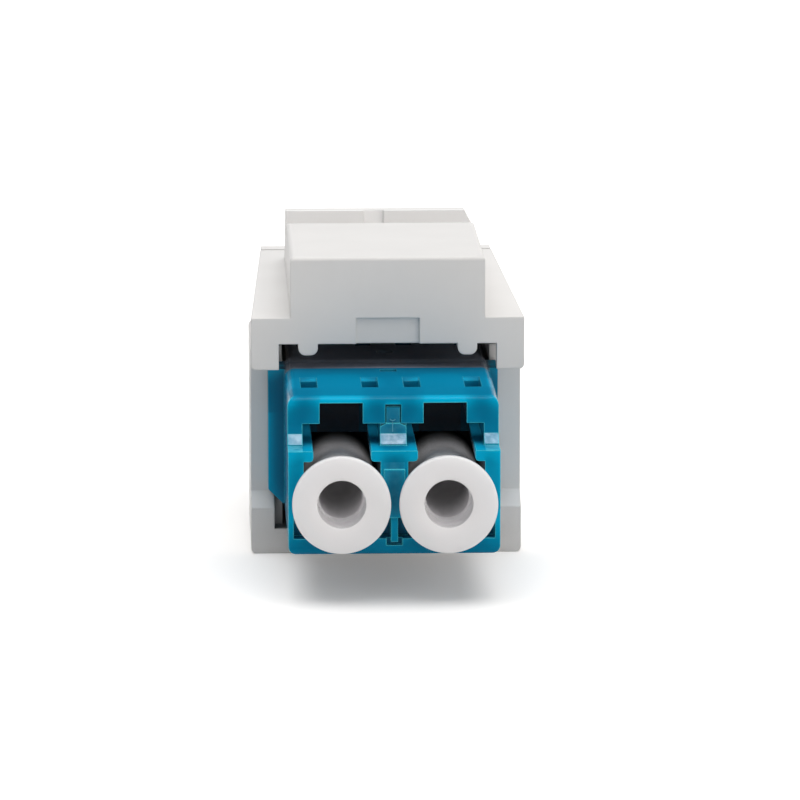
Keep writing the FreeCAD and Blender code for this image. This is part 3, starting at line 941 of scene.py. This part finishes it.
@dataclass
class DustCap:
    """One turned dust cap that stands for its solid with a finer outline."""

    node: str
    body: str
    faces_rear: bool
    mouth_radius: float = 1.44 * MM
    mouth_depth: float = 2.2 * MM
    hole_radius: float = 1.31 * MM
    hole_depth: float = 8.0 * MM
    hole_lift: float = 0.08 * MM
    hole_end: float = 1.0 * MM
    hole_end_steps: int = 8
    web: float = 1.0 * MM
    socket_radius: float = 1.4 * MM
    shank_radius: float = 2.2 * MM
    ring_thickness: float = 0.5 * MM
    step_run: float = 0.02 * MM
    edge_break: float = 0.07 * MM
    mouth_break: float = 0.025 * MM
    spin_steps: int = 128
    sharp_turn: float = math.radians(40)
    break_segments: int = 3
    box: tuple[Vector, Vector] = field(init=False)

    def __post_init__(self) -> None:
        """Read the solid's place and size from the frame."""
        low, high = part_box(self.node)
        self.box = (Vector(low), Vector(high))

    @property
    def direction(self) -> float:
        """Sign of Y from the ring's front into the port."""
        return 1.0 if self.faces_rear else -1.0

    @property
    def ring_front(self) -> float:
        """Y of the ring's front face."""
        return self.box[0].y if self.faces_rear else self.box[1].y

    @property
    def length(self) -> float:
        """Length of the cap along the port axis."""
        return self.box[1].y - self.box[0].y

    @property
    def axis_point(self) -> Vector:
        """Middle of the cap on its axis at the ring's front."""
        middle = (self.box[0] + self.box[1]) / 2
        return Vector((middle.x, self.ring_front, middle.z))

    @property
    def ring_radius(self) -> float:
        """Outer radius of the ring."""
        return (self.box[1].z - self.box[0].z) / 2

    def profile(self) -> list[Point]:
        """List the section's corners from the hole's end around to the web's back.

        Returns:
            The corners as radius and depth.
        """
        quarter = [step / self.hole_end_steps * math.pi / 2 for step in range(self.hole_end_steps + 1)]
        end = [
            (self.hole_radius * math.sin(turn), self.hole_depth - self.hole_end * (1 - math.cos(turn)))
            for turn in quarter
        ]
        return end + [
            (self.hole_radius, self.mouth_depth + self.step_run),
            (self.mouth_radius, self.mouth_depth),
            (self.mouth_radius, 0.0),
            (self.ring_radius, 0.0),
            (self.ring_radius, self.ring_thickness),
            (self.shank_radius, self.ring_thickness),
            (self.shank_radius, self.length),
            (self.socket_radius, self.length),
            (self.socket_radius, self.hole_depth + self.web),
            (0.0, self.hole_depth + self.web),
        ]

    def build(self) -> bpy.types.Object:
        """Spin the section into the cap and break its edges.

        Returns:
            The new cap.
        """
        shape = bmesh.new()
        centre = self.axis_point
        corners = []
        for radius, depth in self.profile():
            place = centre + Vector((radius, self.direction * depth, 0.0))
            corners.append(shape.verts.new(place))
        for start, end in zip(corners, corners[1:]):
            shape.edges.new((start, end))
        bmesh.ops.spin(
            shape,
            geom=shape.verts[:] + shape.edges[:],
            cent=centre,
            axis=(0.0, 1.0, 0.0),
            angle=2 * math.pi,
            steps=self.spin_steps,
            use_merge=True,
        )
        bmesh.ops.remove_doubles(shape, verts=shape.verts[:], dist=TINY)
        bmesh.ops.recalc_face_normals(shape, faces=shape.faces[:])
        self.break_edges(shape, self.mouth_break, in_hole=True)
        self.break_edges(shape, self.edge_break, in_hole=False)
        lifted = [vert for vert in shape.verts if self.is_in_hole(vert.co)]
        bmesh.ops.translate(shape, vec=(0.0, 0.0, self.hole_lift), verts=lifted)
        piece = new_piece(self.node + "_turned", shape)
        piece.data.shade_smooth()
        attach(piece, self.body)
        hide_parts(self.node)
        LOG.info("turned %s", piece.name)
        return piece

    def break_edges(self, shape: bmesh.types.BMesh, size: float, in_hole: bool) -> None:
        """Bevel the sharp edges in the hole or those outside it.

        Args:
            shape: the spun cap.
            size: width of the bevel.
            in_hole: whether the hole's edges are meant.
        """
        sharp = []
        for edge in shape.edges:
            if not edge.is_manifold or edge.calc_face_angle() < self.sharp_turn:
                continue
            if all(self.is_in_hole(vert.co) for vert in edge.verts) == in_hole:
                sharp.append(edge)
        bmesh.ops.bevel(
            shape,
            geom=sharp,
            offset=size,
            offset_type="OFFSET",
            affect="EDGES",
            segments=self.break_segments,
            profile=0.5,
            material=-1,
            clamp_overlap=True,
        )

    def is_in_hole(self, place: Vector) -> bool:
        """Tell whether a place lies in the open hole of the cap.

        Args:
            place: the place in the part's frame.

        Returns:
            True for the hole's wall, step, end and rim.
        """
        away = place - self.axis_point
        radius = math.hypot(away.x, away.z)
        depth = self.direction * away.y
        widest = self.mouth_radius + self.mouth_break + TINY
        return radius < widest and depth < self.hole_depth + SLACK

    def zone(self, place: Vector) -> CapZone:
        """Tell which zone of the cap a place belongs to.

        Args:
            place: the place in the part's frame.

        Returns:
            The zone.
        """
        if self.is_in_hole(place):
            return CapZone.HOLE
        depth = self.direction * (place.y - self.ring_front)
        if depth < self.ring_thickness + SLACK:
            return CapZone.RING
        return CapZone.SHANK

    def dress(self, piece: bpy.types.Object) -> None:
        """Give the ring, the hole and the shank of the cap their milky finishes.

        Args:
            piece: the turned cap.
        """
        for zone in CapZone:
            finish = CAP_FINISHES[zone]
            placed = replace(
                finish,
                name=f"{self.node}_{finish.name}",
                ring_front=self.ring_front,
                direction=self.direction,
                length=self.length,
            )
            piece.data.materials.append(placed.material())
        for face in piece.data.polygons:
            face.material_index = self.zone(face.center).value


@dataclass
class DustCapSet:
    """The four dust caps, two on each side of the adapter."""

    caps: tuple[tuple[str, str, bool], ...] = (
        ("dust_cap_rear_left", "rear_cap_left", True),
        ("dust_cap_rear_right", "rear_cap_right", True),
        ("dust_cap_front_left", "front_cap_left", False),
        ("dust_cap_front_right", "front_cap_right", False),
    )

    def build(self) -> None:
        """Turn and dress every cap."""
        for node, body, faces_rear in self.caps:
            cap = DustCap(node=node, body=body, faces_rear=faces_rear)
            cap.dress(cap.build())


@dataclass(frozen=True)
class SoftBox:
    """A wide soft lamp far from the part."""

    name: str
    toward: Place
    irradiance: float
    angle: float
    colour: Colour = (1.0, 1.0, 1.0)
    gloss_only: bool = False

    def hang(self) -> None:
        """Add the lamp to the scene, pointing at the part."""
        data = bpy.data.lights.new(self.name, "SUN")
        data.energy = self.irradiance
        data.angle = self.angle
        data.color = self.colour
        lamp = bpy.data.objects.new(self.name, data)
        lamp.visible_diffuse = not self.gloss_only
        lamp.rotation_mode = "QUATERNION"
        lamp.rotation_quaternion = Vector(self.toward).to_track_quat("Z", "Y")
        bpy.context.scene.collection.objects.link(lamp)


@dataclass
class Studio:
    """Floor, light and camera of the photograph."""

    image_width: float = 800.0
    focal_px: float = 6030.0
    sensor_width: float = 36.0
    elevation: float = math.radians(10.5)
    azimuth: float = math.radians(-2.1)
    anchor: Vector = field(default_factory=lambda: Vector((0.0, -17.0 * MM, 6.25 * MM)))
    anchor_px: Point = (394.5, 500.5)
    anchor_distance: float = 360.65 * MM
    clip_range: tuple[float, float] = (0.01, 20.0)
    floor_half: float = 3.0
    ambient: float = 0.42
    floor_shown: float = 1.0
    floor_bounce: float = 0.7
    floor_lift: float = 0.19
    floor_lift_colour: Colour = (1.0, 0.95, 0.9)
    lamps: tuple[SoftBox, ...] = (
        SoftBox("overhead_softbox", (0.0, 0.0, 0.99), 2.15, math.radians(70.0)),
        SoftBox("right_softbox", (0.7, -0.6, 0.2), 0.85, math.radians(50.0), (1.0, 0.93, 0.87)),
        SoftBox("glint_lamp", (0.036, -0.17, 0.985), 0.3, math.radians(6.0), gloss_only=True),
    )

    def place_camera(self) -> None:
        """Set the camera where the photograph was taken from."""
        cos_el = math.cos(self.elevation)
        back = Vector((
            math.sin(self.azimuth) * cos_el,
            -math.cos(self.azimuth) * cos_el,
            math.sin(self.elevation),
        ))
        right = Vector((math.cos(self.azimuth), math.sin(self.azimuth), 0.0))
        up = back.cross(right)
        half = self.image_width / 2
        across = (self.anchor_px[0] - half) / self.focal_px
        rise = (half - self.anchor_px[1]) / self.focal_px
        place = self.anchor - self.anchor_distance * (-back + across * right + rise * up)
        data = bpy.data.cameras.new("photo_camera")
        data.sensor_width = self.sensor_width
        data.lens = self.focal_px / self.image_width * self.sensor_width
        data.clip_start, data.clip_end = self.clip_range
        camera = bpy.data.objects.new("photo_camera", data)
        turn = Matrix((right, up, back)).transposed()
        camera.matrix_world = Matrix.Translation(place) @ turn.to_4x4()
        bpy.context.scene.collection.objects.link(camera)
        bpy.context.scene.camera = camera
        LOG.info("camera placed")

    def lay_floor(self) -> None:
        """Lay a plain white floor that keeps the part's shadow."""
        shape = bmesh.new()
        bmesh.ops.create_grid(shape, x_segments=1, y_segments=1, size=self.floor_half)
        floor = new_piece("studio_floor", shape)
        material = bpy.data.materials.new("studio_floor")
        material.use_nodes = True
        graph = NodeGraph(material.node_tree)
        output = graph.add("OutputMaterial")
        shown = self.shown_rays(graph)
        matt = graph.add("BsdfDiffuse")
        tone = graph.span(shown, 0.0, 1.0, low=self.floor_bounce, high=self.floor_shown)
        graph.link(tone, matt.inputs["Color"])
        glow = graph.add("Emission")
        glow.inputs["Color"].default_value = (*self.floor_lift_colour, 1.0)
        graph.link(graph.math("MULTIPLY", shown, self.floor_lift), glow.inputs["Strength"])
        both = graph.add("AddShader")
        graph.link(matt.outputs["BSDF"], both.inputs[0])
        graph.link(glow.outputs["Emission"], both.inputs[1])
        graph.link(both.outputs["Shader"], output.inputs["Surface"])
        set_material(floor, material)
        LOG.info("floor laid")

    def shown_rays(self, graph: NodeGraph) -> Socket:
        """Tell the rays that show the background from those that only light the part.

        Args:
            graph: the nodes to add to.

        Returns:
            An output that is 1 for camera, glossy and transmission rays.
        """
        seen = graph.add("LightPath").outputs
        through = graph.math("MAXIMUM", seen["Is Camera Ray"], seen["Is Transmission Ray"])
        return graph.math("MAXIMUM", through, seen["Is Glossy Ray"])

    def light(self) -> None:
        """Hang the soft lamps in an even white room."""
        for lamp in self.lamps:
            lamp.hang()
        world = bpy.data.worlds.new("white_room")
        world.use_nodes = True
        bpy.context.scene.world = world
        graph = NodeGraph(world.node_tree)
        output = graph.add("OutputWorld")
        room = graph.add("Background")
        level = graph.span(self.shown_rays(graph), 0.0, 1.0, low=self.ambient)
        graph.link(level, room.inputs["Strength"])
        graph.link(room.outputs["Background"], output.inputs["Surface"])
        LOG.info("light set")

    def build(self) -> None:
        """Set up the whole studio."""
        self.lay_floor()
        self.light()
        self.place_camera()
        bpy.context.scene.view_settings.view_transform = "Standard"


def main() -> None:
    """Load the frame, dress every piece and build the studio around it."""
    logging.basicConfig(level=logging.INFO)
    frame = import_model()
    KeystoneHousing().dress(frame)
    AdapterCore().dress(frame)
    for mark in NECK_MARKS:
        mark.build()
    DustCapSet().build()
    Studio().build()


if __name__ == "__main__":
    main()
